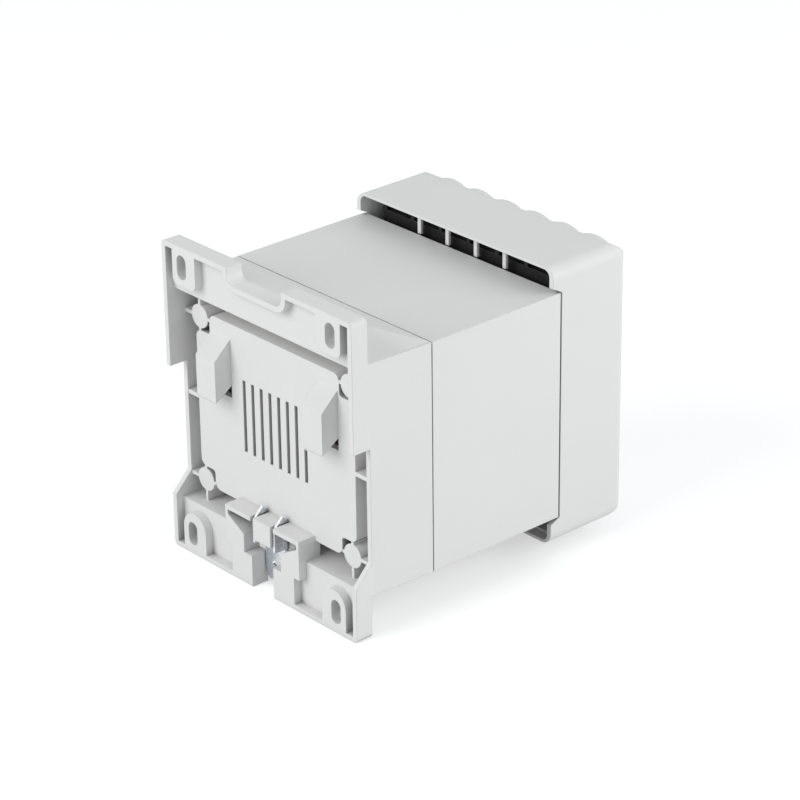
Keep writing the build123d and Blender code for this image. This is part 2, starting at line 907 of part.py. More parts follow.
def clamps(upper):
    """Six saddle clamps on the terminal plates."""
    level = terminal_levels()[1 if upper else 0]
    seat = block_front + tag_thickness
    pieces = []
    for x in poles():
        section = Pos(x, level) * Rectangle(2 * clamp_half_width, 2 * clamp_half_height)
        saddle = forward(section, seat, clamp_thickness + clamp_lip_drop)
        groove = Pos(x, level) * Rectangle(2 * (clamp_half_width - clamp_lip), 2 * clamp_half_height)
        saddle -= forward(groove, seat, clamp_lip_drop)
        hole = terminal_screw_radius + terminal_hole_clearance
        saddle -= rod(x, level, hole, seat, clamp_thickness + clamp_lip_drop)
        pieces.append(saddle)
    return pieces


def terminal_screws(upper):
    """Six clamping screws."""
    level = terminal_levels()[1 if upper else 0]
    screw = slotted_screw(
        terminal_screw_radius,
        terminal_screw_end,
        block_front + tag_thickness + clamp_lip_drop + clamp_thickness,
        terminal_head_radius,
        terminal_head_height,
        terminal_slot_width,
        terminal_slot_depth,
    )
    return [Pos(x, 0, level) * screw for x in poles()]


def leads(upper):
    """Two lead wires, from the wrap of a winding to the outer tags."""
    level = terminal_levels()[1 if upper else 0]
    inward = -1 if upper else 1
    bottom, height = winding_place(upper)
    start_z = bottom + height / 2 - inward * lead_start_rise
    _, half_y = tube_half_sizes()
    face = core_middle + half_y + winding_build + wrap_thickness
    tag_depth = block_front - lead_radius - lead_seat_gap
    end_z = level + inward * (block_half_height + lead_end_gap)
    pieces = []
    for side in (-1, 1):
        tag_x = side * poles()[-1]
        route = FilletPolyline(
            (side * lead_start_x, -face, start_z),
            (side * lead_start_x, -(face + lead_run + lead_bend), start_z),
            (tag_x, -tag_depth, start_z),
            (tag_x, -tag_depth, end_z),
            radius=lead_bend,
        )
        start = Plane(origin=route @ 0, z_dir=route % 0)
        pieces.append(sweep(start * Circle(lead_radius), path=route))
    return pieces


def write(name, *pieces):
    """Move a node's pieces to the part's frame and write them."""
    to_frame = Pos(0, 0, -slot_high_z)
    solids = [solid for piece in pieces for solid in (to_frame * piece).solids()]
    node = solids[0] if len(solids) == 1 else Compound(children=solids)
    export_step(node, os.path.join("parts", name + ".step"))


os.makedirs("parts", exist_ok=True)
write("rear_housing", rear_housing())
write("middle_housing", middle_housing())
write("front_cover", front_cover())
write("rail_clip", rail_clip())
write("clip_spring", clip_spring())
write("core_e_laminations", core_e_laminations())
write("core_i_laminations", core_i_laminations())
write("bobbin", bobbin())
write("core_screws", *core_screws())
write("core_washers", *core_washers())
for winding_name, is_upper in (("primary", True), ("secondary", False)):
    write(winding_name + "_winding", winding(is_upper))
    write(winding_name + "_wrap", winding_wrap(is_upper))
    write(winding_name + "_terminal_block", terminal_block(is_upper))
    write(winding_name + "_tags", *tags(is_upper))
    write(winding_name + "_clamps", *clamps(is_upper))
    write(winding_name + "_terminal_screws", *terminal_screws(is_upper))
    write(winding_name + "_leads", *leads(is_upper))
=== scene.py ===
"""Looks for a transformer for 35 mm rail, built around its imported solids."""

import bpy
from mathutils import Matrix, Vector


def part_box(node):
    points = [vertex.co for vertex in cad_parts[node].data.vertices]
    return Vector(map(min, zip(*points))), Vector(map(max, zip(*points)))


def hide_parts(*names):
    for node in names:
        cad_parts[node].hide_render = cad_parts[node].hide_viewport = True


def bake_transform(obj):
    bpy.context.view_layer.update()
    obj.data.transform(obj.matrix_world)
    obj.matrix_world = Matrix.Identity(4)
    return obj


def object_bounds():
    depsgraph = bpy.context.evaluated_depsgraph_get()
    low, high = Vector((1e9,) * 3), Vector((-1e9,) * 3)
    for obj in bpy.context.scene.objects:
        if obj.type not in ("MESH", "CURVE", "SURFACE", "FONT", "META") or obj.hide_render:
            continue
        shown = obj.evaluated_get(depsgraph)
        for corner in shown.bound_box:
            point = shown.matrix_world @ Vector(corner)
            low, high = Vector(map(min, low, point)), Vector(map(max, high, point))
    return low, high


bl_info = {
    "name": "Rail Transformer Looks",
    "version": (1, 0, 0),
    "blender": (4, 5, 0),
    "location": "View3D > Sidebar > Transformer",
    "description": "Finishes the solids of a rail transformer and lights them as for a catalogue",
    "category": "Object",
}

import math

import bmesh
import bpy
from bpy.props import FloatProperty, FloatVectorProperty, PointerProperty
from mathutils import Matrix, Vector

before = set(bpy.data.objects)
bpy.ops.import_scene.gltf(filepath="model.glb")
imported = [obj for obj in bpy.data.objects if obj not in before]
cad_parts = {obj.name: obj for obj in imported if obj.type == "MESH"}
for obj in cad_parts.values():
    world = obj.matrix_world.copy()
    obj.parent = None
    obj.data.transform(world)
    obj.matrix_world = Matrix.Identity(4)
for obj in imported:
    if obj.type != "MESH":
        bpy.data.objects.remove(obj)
CAD_BOX = [list(corner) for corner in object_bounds()]
MM = 0.001

CASE_NODES = ("rear_housing", "middle_housing", "front_cover")
CORE_NODES = ("core_e_laminations", "core_i_laminations")
WINDING_NODES = ("primary_winding", "secondary_winding")
WRAP_NODES = ("primary_wrap", "secondary_wrap")
LEAD_NODES = ("primary_leads", "secondary_leads")
BLOCK_NODES = ("primary_terminal_block", "secondary_terminal_block")
TAG_NODES = ("primary_tags", "secondary_tags")
FASTENER_NODES = (
    "core_screws",
    "core_washers",
    "primary_clamps",
    "secondary_clamps",
    "primary_terminal_screws",
    "secondary_terminal_screws",
)

ENAMEL_COLOUR = (0.36, 0.10, 0.03)
FILM_COLOUR = (0.52, 0.30, 0.05)
NYLON_COLOUR = (0.02, 0.02, 0.022)
BLOCK_COLOUR = (0.018, 0.018, 0.018)
TIN_COLOUR = (0.62, 0.61, 0.58)
SPRING_COLOUR = (0.72, 0.73, 0.75)
COAT_ROUGHNESS = 0.1

# The stage. Lamps are placed from the point that the camera looks at, which they face.
VIEW_TARGET = Vector((0.0, -0.04725, -0.0457))
KEY_PLACE = Vector((0.30, 1.20, 0.70))
KEY_SIZE = 1.1
FILL_PLACE = Vector((-1.02, -0.58, 0.32))
FILL_SIZE = 1.0
FLOOR_HALF_WIDTH = 6.0
FLOOR_COLOUR = (0.72, 0.72, 0.72, 1.0)
FLOOR_GLOW = 0.48
LIGHT_COLOUR = (0.93, 0.975, 1.0, 1.0)
BACKDROP_COLOUR = (1.0, 1.0, 1.0, 1.0)


# Properties

class CaseProperties(bpy.types.PropertyGroup):
    colour: FloatVectorProperty(
        name="Case colour",
        description="Light grey of the moulded case",
        subtype="COLOR",
        size=3,
        min=0.0,
        max=1.0,
        default=(0.750, 0.745, 0.736),
    )
    roughness: FloatProperty(
        name="Roughness", description="How matt the moulding is", default=0.52, min=0.0, max=1.0
    )
    grain_size: FloatProperty(
        name="Grain size",
        description="Size of the eroded grain of the mould",
        default=0.35 * MM,
        unit="LENGTH",
    )
    edge_radius: FloatProperty(
        name="Edge radius",
        description="Small rounding that a moulded edge has",
        default=0.35 * MM,
        unit="LENGTH",
    )


class MetalProperties(bpy.types.PropertyGroup):
    zinc_colour: FloatVectorProperty(
        name="Zinc colour",
        description="Bluish tone of bright zinc plating",
        subtype="COLOR",
        size=3,
        min=0.0,
        max=1.0,
        default=(0.80, 0.84, 0.89),
    )
    steel_colour: FloatVectorProperty(
        name="Core colour",
        description="Dark tone of the core plates",
        subtype="COLOR",
        size=3,
        min=0.0,
        max=1.0,
        default=(0.23, 0.23, 0.24),
    )
    plate_thickness: FloatProperty(
        name="Plate thickness",
        description="Thickness of one core plate",
        default=0.5 * MM,
        unit="LENGTH",
    )


class SpringProperties(bpy.types.PropertyGroup):
    thickness: FloatProperty(
        name="Leaf thickness",
        description="Thickness of the leaf spring",
        default=0.4 * MM,
        unit="LENGTH",
    )


class StageProperties(bpy.types.PropertyGroup):
    key_power: FloatProperty(
        name="Key light",
        description="Power of the soft light behind the camera",
        default=11.7,
        unit="POWER",
    )
    fill_power: FloatProperty(
        name="Fill light",
        description="Power of the soft light beside the case",
        default=9.2,
        unit="POWER",
    )
    sky: FloatProperty(
        name="Surroundings",
        description="Strength of the even light all round",
        default=0.50,
        min=0.0,
    )
    lens: FloatProperty(
        name="Lens",
        description="Focal length of the camera",
        default=141.16,
        subtype="DISTANCE_CAMERA",
    )
    distance: FloatProperty(
        name="Distance",
        description="From the camera to the case's middle",
        default=0.97502,
        unit="LENGTH",
    )
    azimuth: FloatProperty(
        name="Azimuth",
        description="Turn of the camera round the case",
        default=math.radians(228.484),
        subtype="ANGLE",
    )
    elevation: FloatProperty(
        name="Elevation",
        description="How far the camera looks down",
        default=math.radians(25.344),
        subtype="ANGLE",
    )
    roll: FloatProperty(
        name="Roll", description="Tilt of the camera", default=math.radians(-0.722), subtype="ANGLE"
    )
    shift_right: FloatProperty(
        name="Shift right",
        description="How far the camera stands to the right",
        default=0.00754,
        unit="LENGTH",
    )
    shift_up: FloatProperty(
        name="Shift up",
        description="How far the camera stands higher",
        default=-0.00179,
        unit="LENGTH",
    )


# Node helpers

def new_material(name):
    """A material and its empty node tree."""
    material = bpy.data.materials.new(name)
    material.use_nodes = True
    material.node_tree.nodes.clear()
    return material, material.node_tree


def add(tree, kind, values=None, **settings):
    """A node with its settings and the values of its sockets."""
    node = tree.nodes.new(kind)
    for key, value in settings.items():
        setattr(node, key, value)
    for key, value in (values or {}).items():
        node.inputs[key].default_value = value
    return node


def join(tree, source, target):
    """A link between two sockets."""
    tree.links.new(source, target)


def feed(tree, value, socket):
    """Gives a socket its value, which is another socket, a colour or a number."""
    if isinstance(value, bpy.types.NodeSocket):
        join(tree, value, socket)
    elif isinstance(value, (tuple, list)):
        socket.default_value = (*value[:3], 1.0)
    else:
        socket.default_value = value


def arithmetic(tree, operation, *values):
    """The result of a Math node, whose one or two inputs are sockets or numbers."""
    node = add(tree, "ShaderNodeMath", operation=operation)
    for socket, value in zip(node.inputs, values):
        feed(tree, value, socket)
    return node.outputs[0]


def blend_colours(tree, mask, first, second):
    """A mix of two colours, which are sockets or values."""
    node = add(tree, "ShaderNodeMix", data_type="RGBA")
    colour_inputs = [socket for socket in node.inputs if socket.type == "RGBA"]
    join(tree, mask, node.inputs[0])
    for socket, value in zip(colour_inputs, (first, second)):
        feed(tree, value, socket)
    return next(socket for socket in node.outputs if socket.type == "RGBA")


def new_group(name, inputs, outputs):
    """An empty node group with number inputs and named outputs."""
    group = bpy.data.node_groups.new(name, "ShaderNodeTree")
    for label, default in inputs:
        socket = group.interface.new_socket(
            name=label, in_out="INPUT", socket_type="NodeSocketFloat"
        )
        socket.default_value = default
    for label, kind in outputs:
        group.interface.new_socket(name=label, in_out="OUTPUT", socket_type=kind)
    start = group.nodes.new("NodeGroupInput")
    end = group.nodes.new("NodeGroupOutput")
    return group, start.outputs, end.inputs


def placed(tree, name, **values):
    """A node group placed in a material with its own values."""
    node = add(tree, "ShaderNodeGroup", node_tree=bpy.data.node_groups[name])
    for key, value in values.items():
        node.inputs[key.replace("_", " ")].default_value = value
    return node


def object_space(tree, stretch=(1.0, 1.0, 1.0)):
    """Object coordinates, stretched along the axes."""
    place = add(tree, "ShaderNodeTexCoord")
    mapping = add(tree, "ShaderNodeMapping")
    mapping.inputs["Scale"].default_value = stretch
    join(tree, place.outputs["Object"], mapping.inputs["Vector"])
    return mapping.outputs["Vector"]


def seen_directly(tree):
    """A mask of the rays that show a surface as it is: camera, mirrored and transmitted."""
    path = add(tree, "ShaderNodeLightPath").outputs
    sharp = arithmetic(tree, "MAXIMUM", path["Is Glossy Ray"], path["Is Transmission Ray"])
    return arithmetic(tree, "MAXIMUM", path["Is Camera Ray"], sharp)


# Node groups

BEVEL_SAMPLES = 6
EDGE_GAIN = 5.0
WAVES_PER_METRE = 42.0
SMUDGES_PER_METRE = 75.0
SPECKS_PER_METRE = 1600.0
OPENNESS_SAMPLES = 8
ROLLING_PER_METRE = 900.0
ROLLING_STRETCH = (1.0, 1.0, 0.08)
DULL_PATCHES_PER_METRE = 260.0


def make_soft_edge():
    """Rounds an edge's light and marks where the edge is."""
    group, given, result = new_group(
        "soft edge",
        [("Radius", 0.3 * MM)],
        [("Normal", "NodeSocketVector"), ("Edge", "NodeSocketFloat")],
    )
    bevel = add(group, "ShaderNodeBevel", samples=BEVEL_SAMPLES)
    join(group, given["Radius"], bevel.inputs["Radius"])
    flat = add(group, "ShaderNodeNewGeometry")
    turn = add(group, "ShaderNodeVectorMath", operation="DOT_PRODUCT")
    join(group, bevel.outputs["Normal"], turn.inputs[0])
    join(group, flat.outputs["Normal"], turn.inputs[1])
    edge = arithmetic(group, "SUBTRACT", 1.0, turn.outputs["Value"])
    mask = arithmetic(group, "MULTIPLY", edge, EDGE_GAIN)
    mask.node.use_clamp = True
    join(group, bevel.outputs["Normal"], result["Normal"])
    join(group, mask, result["Edge"])


def make_mould_grain():
    """Fine eroded grain, with slow waves left by the flow of the plastic."""
    group, given, result = new_group(
        "mould grain",
        [("Grain per metre", 2800.0), ("Wave", 0.25)],
        [("Height", "NodeSocketFloat"), ("Patches", "NodeSocketFloat")],
    )
    space = object_space(group)
    grain = add(group, "ShaderNodeTexNoise", {"Detail": 3.0, "Roughness": 0.6})
    pits = add(group, "ShaderNodeTexVoronoi", feature="SMOOTH_F1")
    waves = add(group, "ShaderNodeTexNoise", {"Scale": WAVES_PER_METRE, "Detail": 2.0})
    for node in (grain, pits, waves):
        join(group, space, node.inputs["Vector"])
    join(group, given["Grain per metre"], grain.inputs["Scale"])
    join(group, given["Grain per metre"], pits.inputs["Scale"])
    fine = arithmetic(group, "MULTIPLY", grain.outputs[0], pits.outputs["Distance"])
    slow = arithmetic(group, "MULTIPLY", waves.outputs[0], given["Wave"])
    join(group, arithmetic(group, "ADD", fine, slow), result["Height"])
    join(group, waves.outputs[0], result["Patches"])


def make_handling():
    """Faint smudges and dust from handling."""
    group, given, result = new_group(
        "handling",
        [("Amount", 0.2)],
        [("Smudge", "NodeSocketFloat"), ("Dust", "NodeSocketFloat")],
    )
    space = object_space(group)
    look = {"Scale": SMUDGES_PER_METRE, "Detail": 5.0, "Roughness": 0.62}
    cloud = add(group, "ShaderNodeTexNoise", look)
    speck = add(group, "ShaderNodeTexNoise", {"Scale": SPECKS_PER_METRE, "Detail": 2.0})
    for node in (cloud, speck):
        join(group, space, node.inputs["Vector"])
    smudge = add(group, "ShaderNodeMapRange", {"From Min": 0.42, "From Max": 0.72})
    join(group, cloud.outputs[0], smudge.inputs["Value"])
    dust = add(group, "ShaderNodeMapRange", {"From Min": 0.60, "From Max": 0.74})
    join(group, speck.outputs[0], dust.inputs["Value"])
    join(group, arithmetic(group, "MULTIPLY", smudge.outputs[0], given["Amount"]), result["Smudge"])
    join(group, arithmetic(group, "MULTIPLY", dust.outputs[0], given["Amount"]), result["Dust"])


def make_painted_recess_shade():
    """Marks narrow slots and deep corners, where little light comes in, so that painted shade can
    darken them.
    """
    group, given, result = new_group(
        "painted_recess_shade", [("Reach", 6.0 * MM)], [("Depth", "NodeSocketFloat")]
    )
    # Painted shade: an occlusion mask of slots and corners, which darkens the colour.
    openness = add(group, "ShaderNodeAmbientOcclusion", samples=OPENNESS_SAMPLES)
    join(group, given["Reach"], openness.inputs["Distance"])
    depth = add(group, "ShaderNodeMapRange", {"From Min": 0.58, "From Max": 0.12})
    join(group, openness.outputs["AO"], depth.inputs["Value"])
    join(group, depth.outputs[0], result["Depth"])


def make_layers():
    """Lines between stacked plates or wound turns."""
    group, given, result = new_group(
        "layers",
        [("Along X", 0.0), ("Along Y", 1.0), ("Along Z", 0.0), ("Per metre", 2000.0)],
        [("Height", "NodeSocketFloat"), ("Tone", "NodeSocketFloat")],
    )
    space = object_space(group)
    direction = add(group, "ShaderNodeCombineXYZ")
    for label, axis in (("Along X", "X"), ("Along Y", "Y"), ("Along Z", "Z")):
        join(group, given[label], direction.inputs[axis])
    reach = add(group, "ShaderNodeVectorMath", operation="DOT_PRODUCT")
    join(group, space, reach.inputs[0])
    join(group, direction.outputs[0], reach.inputs[1])
    count = arithmetic(group, "MULTIPLY", reach.outputs["Value"], given["Per metre"])
    saw = arithmetic(group, "FRACT", count)
    centred = arithmetic(group, "SUBTRACT", saw, 0.5)
    fold = arithmetic(group, "ABSOLUTE", centred)
    walls = {"From Min": 0.34, "From Max": 0.5, "To Min": 1.0, "To Max": 0.0}
    groove = add(group, "ShaderNodeMapRange", walls)
    join(group, fold, groove.inputs["Value"])
    whole = arithmetic(group, "FLOOR", count)
    tone = add(group, "ShaderNodeTexWhiteNoise", noise_dimensions="1D")
    join(group, whole, tone.inputs["W"])
    join(group, groove.outputs[0], result["Height"])
    join(group, tone.outputs["Value"], result["Tone"])


def make_plating():
    """Mottled plating: crystals, fine rolling lines and dull patches."""
    group, given, result = new_group(
        "plating",
        [("Crystals per metre", 900.0), ("Contrast", 0.5)],
        [("Tone", "NodeSocketFloat"), ("Height", "NodeSocketFloat")],
    )
    space = object_space(group)
    crystals = add(group, "ShaderNodeTexVoronoi")
    join(group, space, crystals.inputs["Vector"])
    join(group, given["Crystals per metre"], crystals.inputs["Scale"])
    tint = add(group, "ShaderNodeSeparateColor")
    join(group, crystals.outputs["Color"], tint.inputs[0])
    rolled = add(group, "ShaderNodeTexNoise", {"Scale": ROLLING_PER_METRE, "Detail": 4.0})
    join(group, object_space(group, ROLLING_STRETCH), rolled.inputs["Vector"])
    cloud = add(group, "ShaderNodeTexNoise", {"Scale": DULL_PATCHES_PER_METRE, "Detail": 4.0})
    join(group, space, cloud.inputs["Vector"])
    mixed = arithmetic(group, "ADD", tint.outputs[0], cloud.outputs[0])
    tone = arithmetic(group, "MULTIPLY", mixed, given["Contrast"])
    join(group, tone, result["Tone"])
    join(group, rolled.outputs[0], result["Height"])


def make_groups():
    """All the shared node groups."""
    make_soft_edge()
    make_mould_grain()
    make_handling()
    make_painted_recess_shade()
    make_layers()
    make_plating()


# Materials

def shader_of(tree, colour, roughness, metallic=0.0, specular=0.5, coat=0.0):
    """A Principled shader joined to the output."""
    shader = add(tree, "ShaderNodeBsdfPrincipled")
    join(tree, colour, shader.inputs["Base Color"])
    join(tree, roughness, shader.inputs["Roughness"])
    shader.inputs["Metallic"].default_value = metallic
    shader.inputs["Specular IOR Level"].default_value = specular
    shader.inputs["Coat Weight"].default_value = coat
    shader.inputs["Coat Roughness"].default_value = COAT_ROUGHNESS
    output = add(tree, "ShaderNodeOutputMaterial")
    join(tree, shader.outputs[0], output.inputs["Surface"])
    return shader


def raise_surface(tree, shader, height, distance, strength=1.0, base_normal=None):
    """A bump on a shader, over an edge's rounded normal where there is one."""
    bump = add(tree, "ShaderNodeBump", {"Strength": strength, "Distance": distance})
    join(tree, height, bump.inputs["Height"])
    if base_normal:
        join(tree, base_normal, bump.inputs["Normal"])
    join(tree, bump.outputs["Normal"], shader.inputs["Normal"])


def spread(tree, value, low, high):
    """A 0 to 1 value moved to a range."""
    node = add(tree, "ShaderNodeMapRange", {"To Min": low, "To Max": high})
    join(tree, value, node.inputs["Value"])
    return node.outputs[0]


def toned(colour, share):
    """A colour times a share, which is over 1 for a paler one."""
    return tuple(channel * share for channel in colour)


PLASTIC_SPECULAR = 0.45
PLASTIC_MARKS = 0.25
DULL_PATCH, BRIGHT_PATCH = 0.985, 1.015
DUST_TONE = 0.90
# Paler edges: partly wear, partly a painted highlight.
EDGE_WEAR_AND_HIGHLIGHT = 0.35
WORN_AND_LIT_TONE, WORN_AND_LIT_LIFT = 1.07, 0.01
# Reach and tone of the painted shade in the plastic's slots and corners.
PLASTIC_SHADE_REACH = 6.0 * MM
PLASTIC_PAINTED_SHADE_TONE = 0.4
SMUDGE_SHINE = 0.16
GRAIN_DEPTH = 0.03 * MM
GRAIN_STRENGTH = 0.35


def moulded_plastic(name, colour, roughness, grain_size, edge_radius):
    """Matt plastic: grain, flow waves, edges paler from wear and a painted highlight, painted shade
    in recesses and faint handling marks.
    """
    material, tree = new_material(name)
    edge = placed(tree, "soft edge", Radius=edge_radius)
    grain = placed(tree, "mould grain", Grain_per_metre=1.0 / grain_size)
    marks = placed(tree, "handling", Amount=PLASTIC_MARKS)
    patchy = blend_colours(
        tree, grain.outputs["Patches"], toned(colour, DULL_PATCH), toned(colour, BRIGHT_PATCH)
    )
    dusty = blend_colours(tree, marks.outputs["Dust"], patchy, toned(colour, DUST_TONE))
    # Paler edges: partly wear, partly a painted highlight on the rounded edges.
    wear_and_highlight = arithmetic(tree, "MULTIPLY", edge.outputs["Edge"], EDGE_WEAR_AND_HIGHLIGHT)
    worn_and_lit_colour = tuple(min(1.0, channel * WORN_AND_LIT_TONE + WORN_AND_LIT_LIFT) for channel in colour)
    worn_and_lit = blend_colours(tree, wear_and_highlight, dusty, worn_and_lit_colour)
    # Painted shade: the colour is darkened in slots and corners.
    painted_recess_shade = placed(tree, "painted_recess_shade", Reach=PLASTIC_SHADE_REACH).outputs["Depth"]
    shaded = blend_colours(tree, painted_recess_shade, worn_and_lit, toned(colour, PLASTIC_PAINTED_SHADE_TONE))
    matt = spread(tree, marks.outputs["Smudge"], roughness, roughness - SMUDGE_SHINE)
    shader = shader_of(tree, shaded, matt, specular=PLASTIC_SPECULAR)
    raise_surface(
        tree, shader, grain.outputs["Height"], GRAIN_DEPTH, GRAIN_STRENGTH, edge.outputs["Normal"]
    )
    return material


PLATED_EDGE_RADIUS = 0.15 * MM
BRIGHT_CRYSTAL, DULL_CRYSTAL = 1.12, 0.62
# Painted highlight along the metal's edges.
PAINTED_EDGE_HIGHLIGHT = 1.2
# Reach and tone of the painted shade in the metal's slots and corners.
METAL_SHADE_REACH = 5.0 * MM
METAL_PAINTED_SHADE_TONE = 0.3
CRYSTAL_SHINE, CRYSTAL_DULLNESS = 0.08, 0.16
ROLLING_DEPTH = 0.02 * MM
ROLLING_STRENGTH = 0.4


def plated_metal(name, colour, roughness, crystals, contrast):
    """Plated sheet or screw metal, with a painted highlight at its edges and painted shade in
    recesses.
    """
    material, tree = new_material(name)
    edge = placed(tree, "soft edge", Radius=PLATED_EDGE_RADIUS)
    plating = placed(tree, "plating", Crystals_per_metre=crystals, Contrast=contrast)
    tone = plating.outputs["Tone"]
    mottled = blend_colours(tree, tone, toned(colour, BRIGHT_CRYSTAL), toned(colour, DULL_CRYSTAL))
    # Painted highlight: the colour is paler along the edges.
    edge_highlighted = blend_colours(tree, edge.outputs["Edge"], mottled, toned(colour, PAINTED_EDGE_HIGHLIGHT))
    # Painted shade: the colour is darkened in slots and corners.
    painted_recess_shade = placed(tree, "painted_recess_shade", Reach=METAL_SHADE_REACH).outputs["Depth"]
    shaded = blend_colours(tree, painted_recess_shade, edge_highlighted, toned(colour, METAL_PAINTED_SHADE_TONE))
    shine = spread(tree, tone, roughness - CRYSTAL_SHINE, roughness + CRYSTAL_DULLNESS)
    shader = shader_of(tree, shaded, shine, metallic=1.0)
    raise_surface(
        tree,
        shader,
        plating.outputs["Height"],
        ROLLING_DEPTH,
        ROLLING_STRENGTH,
        edge.outputs["Normal"],
    )
    return material


LAYER_MARKS = 0.8
DULL_LAYER, BRIGHT_LAYER = 0.8, 1.2
# Darker grooves: dark joints between core plates, painted shade between wound turns.
GROOVE_JOINT_AND_SHADE_TONE = 0.25
STAIN_TONE = 0.55
STAIN_DULLNESS = 0.2


def layered(name, colour, roughness, direction, pitch, depth, metallic, coat):
    """Stacked plates or wound turns, with a groove between one and the next."""
    material, tree = new_material(name)
    layers = placed(
        tree,
        "layers",
        Along_X=direction[0],
        Along_Y=direction[1],
        Along_Z=direction[2],
        Per_metre=1.0 / pitch,
    )
    smudge = placed(tree, "handling", Amount=LAYER_MARKS).outputs["Smudge"]
    varied = blend_colours(
        tree, layers.outputs["Tone"], toned(colour, DULL_LAYER), toned(colour, BRIGHT_LAYER)
    )
    height = layers.outputs["Height"]
    # Darker grooves: dark joints between core plates, painted shade in the creases between wound
    # turns.
    grooved_and_shaded = blend_colours(tree, height, toned(colour, GROOVE_JOINT_AND_SHADE_TONE), varied)
    stained = blend_colours(tree, smudge, grooved_and_shaded, toned(colour, STAIN_TONE))
    rough = spread(tree, smudge, roughness, roughness + STAIN_DULLNESS)
    shader = shader_of(tree, stained, rough, metallic=metallic, coat=coat)
    raise_surface(tree, shader, height, depth)
    return material


CREASES_PER_METRE = 130.0
CREASE_STRETCH = (1.0, 1.0, 0.2)
# Tone of the painted shade in the film's crease hollows.
CREASE_SHADE_TONE = 0.7
CREASE_DEPTH = 0.25 * MM
FILM_MARKS = 0.5
CLEAN_FILM, SMUDGED_FILM = 0.16, 0.4
FILM_COAT = 0.4


def film(name, colour):
    """Glossy insulating film with slight creases, with painted shade in their hollows."""
    material, tree = new_material(name)
    look = {"Scale": CREASES_PER_METRE, "Detail": 4.0, "Distortion": 1.2}
    crease = add(tree, "ShaderNodeTexNoise", look)
    join(tree, object_space(tree, CREASE_STRETCH), crease.inputs["Vector"])
    smudge = placed(tree, "handling", Amount=FILM_MARKS).outputs["Smudge"]
    # Painted shade: the colour is darker in the low parts of the crease pattern.
    crease_shaded = blend_colours(tree, crease.outputs[0], toned(colour, CREASE_SHADE_TONE), colour)
    shine = spread(tree, smudge, CLEAN_FILM, SMUDGED_FILM)
    shader = shader_of(tree, crease_shaded, shine, coat=FILM_COAT)
    raise_surface(tree, shader, crease.outputs[0], CREASE_DEPTH)
    return material


def dress(names, material):
    """A material on each of these nodes."""
    for name in names:
        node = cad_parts[name]
        node.data.materials.clear()
        node.data.materials.append(material)


# Operators

class TRANSFORMER_OT_groups(bpy.types.Operator):
    """Makes the node groups that the materials share"""

    bl_idname = "transformer.groups"
    bl_label = "Shared Effects"

    def execute(self, context):
        make_groups()
        return {"FINISHED"}


class TRANSFORMER_OT_case(bpy.types.Operator):
    """Finishes the moulded case"""

    bl_idname = "transformer.case"
    bl_label = "Case"

    def execute(self, context):
        case = context.scene.transformer_case
        plastic = moulded_plastic(
            "light grey moulding",
            tuple(case.colour),
            roughness=case.roughness,
            grain_size=case.grain_size,
            edge_radius=case.edge_radius,
        )
        dress(CASE_NODES, plastic)
        return {"FINISHED"}


class TRANSFORMER_OT_core(bpy.types.Operator):
    """Finishes the core, the bobbin and the windings"""

    bl_idname = "transformer.core"
    bl_label = "Core and Windings"

    def execute(self, context):
        metal = context.scene.transformer_metal
        steel = layered(
            "core plates",
            tuple(metal.steel_colour),
            roughness=0.42,
            direction=(0, 1, 0),
            pitch=metal.plate_thickness,
            depth=0.08 * MM,
            metallic=0.9,
            coat=0.2,
        )
        wire = layered(
            "enamelled wire",
            ENAMEL_COLOUR,
            roughness=0.28,
            direction=(0, 0, 1),
            pitch=0.6 * MM,
            depth=0.2 * MM,
            metallic=0.7,
            coat=0.6,
        )
        nylon = moulded_plastic(
            "black nylon", NYLON_COLOUR, roughness=0.42, grain_size=0.25 * MM, edge_radius=0.2 * MM
        )
        dress(CORE_NODES, steel)
        dress(WINDING_NODES + LEAD_NODES, wire)
        dress(WRAP_NODES, film("amber film", FILM_COLOUR))
        dress(("bobbin",), nylon)
        return {"FINISHED"}


class TRANSFORMER_OT_terminals(bpy.types.Operator):
    """Finishes the terminal blocks, tags, clamps and screws"""

    bl_idname = "transformer.terminals"
    bl_label = "Terminals"

    def execute(self, context):
        zinc = tuple(context.scene.transformer_metal.zinc_colour)
        moulding = moulded_plastic(
            "black moulding",
            BLOCK_COLOUR,
            roughness=0.4,
            grain_size=0.3 * MM,
            edge_radius=0.25 * MM,
        )
        tin = plated_metal(
            "tinned plate", TIN_COLOUR, roughness=0.36, crystals=700.0, contrast=0.35
        )
        screws = plated_metal("zinc fasteners", zinc, roughness=0.3, crystals=2600.0, contrast=0.4)
        dress(BLOCK_NODES, moulding)
        dress(TAG_NODES, tin)
        dress(FASTENER_NODES, screws)
        return {"FINISHED"}


class TRANSFORMER_OT_clip(bpy.types.Operator):
    """Finishes the rail clip and remakes its leaf spring as two bowed halves"""

    bl_idname = "transformer.clip"
    bl_label = "Rail Clip and Spring"

    def execute(self, context):
        zinc = tuple(context.scene.transformer_metal.zinc_colour)
        sheet = plated_metal(
            "bright zinc sheet", zinc, roughness=0.3, crystals=1100.0, contrast=0.3
        )
        dress(("rail_clip",), sheet)
        steel = plated_metal(
            "spring steel", SPRING_COLOUR, roughness=0.25, crystals=3000.0, contrast=0.2
        )
        low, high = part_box("clip_spring")
        thickness = context.scene.transformer_spring.thickness
        for side, name in ((-1, "spring_right_half"), (1, "spring_left_half")):
            leaf = half_leaf(name, side, low, high, thickness)
            leaf.data.materials.append(steel)
            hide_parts("clip_spring")
            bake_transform(leaf)
        return {"FINISHED"}


def object_from(shape, name):
    """An object in the scene, made from a bmesh that is then freed."""
    mesh = bpy.data.meshes.new(name)
    shape.to_mesh(mesh)
    shape.free()
    made = bpy.data.objects.new(name, mesh)
    bpy.context.scene.collection.objects.link(made)
    return made


